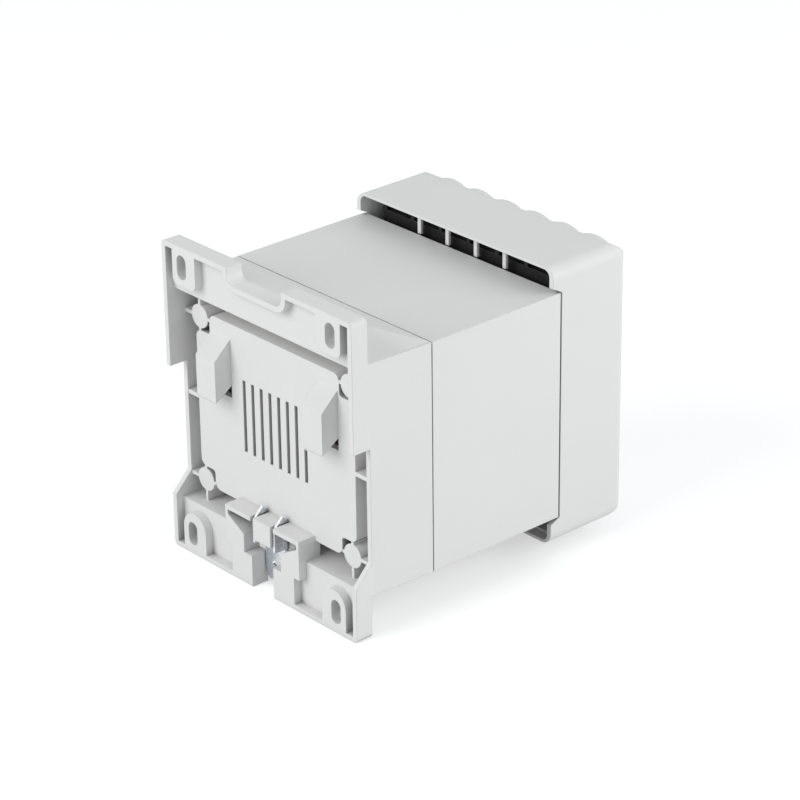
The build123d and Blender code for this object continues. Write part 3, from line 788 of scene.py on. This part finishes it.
def half_leaf(name, side, low, high, thickness):
    """Half of the bowed leaf, from its middle to one end."""
    half_length = high[0]
    width = high[1] - low[1]
    rise = high[2] - low[2] - thickness
    shape = bmesh.new()
    bmesh.ops.create_grid(shape, x_segments=24, y_segments=4, size=0.5)
    placing = Matrix.Translation((side * half_length / 2, (low[1] + high[1]) / 2, low[2]))
    scaling = Matrix.Diagonal((half_length, width, 1.0, 1.0))
    bmesh.ops.transform(shape, matrix=placing @ scaling, verts=shape.verts)
    for vertex in shape.verts:
        share = vertex.co.x / half_length
        vertex.co.z += rise * (1 - share * share)
    bmesh.ops.solidify(shape, geom=shape.faces[:], thickness=-thickness)
    bmesh.ops.recalc_face_normals(shape, faces=shape.faces)
    return object_from(shape, name)


class TRANSFORMER_OT_stage(bpy.types.Operator):
    """Sets the floor, the lights and the camera"""

    bl_idname = "transformer.stage"
    bl_label = "Stage"

    def execute(self, context):
        stage = context.scene.transformer_stage
        context.scene.view_settings.view_transform = "Standard"
        make_floor()
        make_surroundings(context.scene, stage.sky)
        make_light("key", KEY_PLACE, KEY_SIZE, stage.key_power)
        make_light("fill", FILL_PLACE, FILL_SIZE, stage.fill_power)
        make_camera(context.scene, stage)
        return {"FINISHED"}


def make_floor():
    """A pale floor that takes the object's shadow and glows where it is seen directly."""
    shape = bmesh.new()
    bmesh.ops.create_grid(shape, x_segments=1, y_segments=1, size=FLOOR_HALF_WIDTH)
    bmesh.ops.translate(shape, vec=(0.0, 0.0, CAD_BOX[0][2]), verts=shape.verts)
    floor = object_from(shape, "floor")
    material, tree = new_material("white paper")
    paper = add(tree, "ShaderNodeBsdfDiffuse", {"Color": FLOOR_COLOUR})
    glow = add(tree, "ShaderNodeEmission")
    strength = arithmetic(tree, "MULTIPLY", seen_directly(tree), FLOOR_GLOW)
    join(tree, strength, glow.inputs["Strength"])
    both = add(tree, "ShaderNodeAddShader")
    join(tree, paper.outputs[0], both.inputs[0])
    join(tree, glow.outputs[0], both.inputs[1])
    output = add(tree, "ShaderNodeOutputMaterial")
    join(tree, both.outputs[0], output.inputs["Surface"])
    floor.data.materials.append(material)


def make_surroundings(scene, strength):
    """Even light all round, and white where it is seen directly."""
    world = bpy.data.worlds.new("studio")
    world.use_nodes = True
    tree = world.node_tree
    tree.nodes.clear()
    light = add(tree, "ShaderNodeBackground", {"Color": LIGHT_COLOUR, "Strength": strength})
    backdrop = add(tree, "ShaderNodeBackground", {"Color": BACKDROP_COLOUR, "Strength": 1.0})
    mixed = add(tree, "ShaderNodeMixShader")
    join(tree, seen_directly(tree), mixed.inputs[0])
    join(tree, light.outputs[0], mixed.inputs[1])
    join(tree, backdrop.outputs[0], mixed.inputs[2])
    output = add(tree, "ShaderNodeOutputWorld")
    join(tree, mixed.outputs[0], output.inputs["Surface"])
    scene.world = world


def make_light(name, place, size, power):
    """A square soft light, at a place measured from the view's target, which it faces."""
    data = bpy.data.lights.new(name, "AREA")
    data.size = size
    data.energy = power
    light = bpy.data.objects.new(name, data)
    light.location = VIEW_TARGET + place
    light.rotation_euler = place.to_track_quat("Z", "Y").to_euler()
    bpy.context.scene.collection.objects.link(light)


def make_camera(scene, stage):
    """The camera of the catalogue view, from behind and above the case's right side."""
    azimuth, elevation, roll = stage.azimuth, stage.elevation, stage.roll
    back = Vector(
        (
            math.sin(azimuth) * math.cos(elevation),
            -math.cos(azimuth) * math.cos(elevation),
            math.sin(elevation),
        )
    )
    level = Vector((0.0, 0.0, 1.0)).cross(back).normalized()
    upright = back.cross(level)
    right = math.cos(roll) * level + math.sin(roll) * upright
    up = math.cos(roll) * upright - math.sin(roll) * level
    place = VIEW_TARGET + stage.distance * back + stage.shift_right * right + stage.shift_up * up
    data = bpy.data.cameras.new("catalogue view")
    data.lens = stage.lens
    camera = bpy.data.objects.new("catalogue view", data)
    turn = Matrix((right, up, back)).transposed().to_4x4()
    camera.matrix_world = Matrix.Translation(place) @ turn
    scene.collection.objects.link(camera)
    scene.camera = camera


STEPS = ("groups", "case", "core", "terminals", "clip", "stage")


class TRANSFORMER_PT_panel(bpy.types.Panel):
    """The steps and the values that a user would change"""

    bl_label = "Rail Transformer"
    bl_idname = "TRANSFORMER_PT_panel"
    bl_space_type = "VIEW_3D"
    bl_region_type = "UI"
    bl_category = "Transformer"

    def draw(self, context):
        layout = self.layout
        for step in STEPS:
            layout.operator("transformer." + step)
        for holder in GROUPS_OF_VALUES:
            values = getattr(context.scene, holder)
            for key in values.bl_rna.properties.keys():
                if key not in ("rna_type", "name"):
                    layout.prop(values, key)


GROUPS_OF_VALUES = {
    "transformer_case": CaseProperties,
    "transformer_metal": MetalProperties,
    "transformer_spring": SpringProperties,
    "transformer_stage": StageProperties,
}

CLASSES = (
    CaseProperties,
    MetalProperties,
    SpringProperties,
    StageProperties,
    TRANSFORMER_OT_groups,
    TRANSFORMER_OT_case,
    TRANSFORMER_OT_core,
    TRANSFORMER_OT_terminals,
    TRANSFORMER_OT_clip,
    TRANSFORMER_OT_stage,
    TRANSFORMER_PT_panel,
)


def register():
    for item in CLASSES:
        bpy.utils.register_class(item)
    for name, group in GROUPS_OF_VALUES.items():
        setattr(bpy.types.Scene, name, PointerProperty(type=group))


def unregister():
    for name in GROUPS_OF_VALUES:
        delattr(bpy.types.Scene, name)
    for item in reversed(CLASSES):
        bpy.utils.unregister_class(item)


def main():
    """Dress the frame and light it."""
    register()
    for step in STEPS:
        getattr(bpy.ops.transformer, step)()


if __name__ == "__main__":
    main()
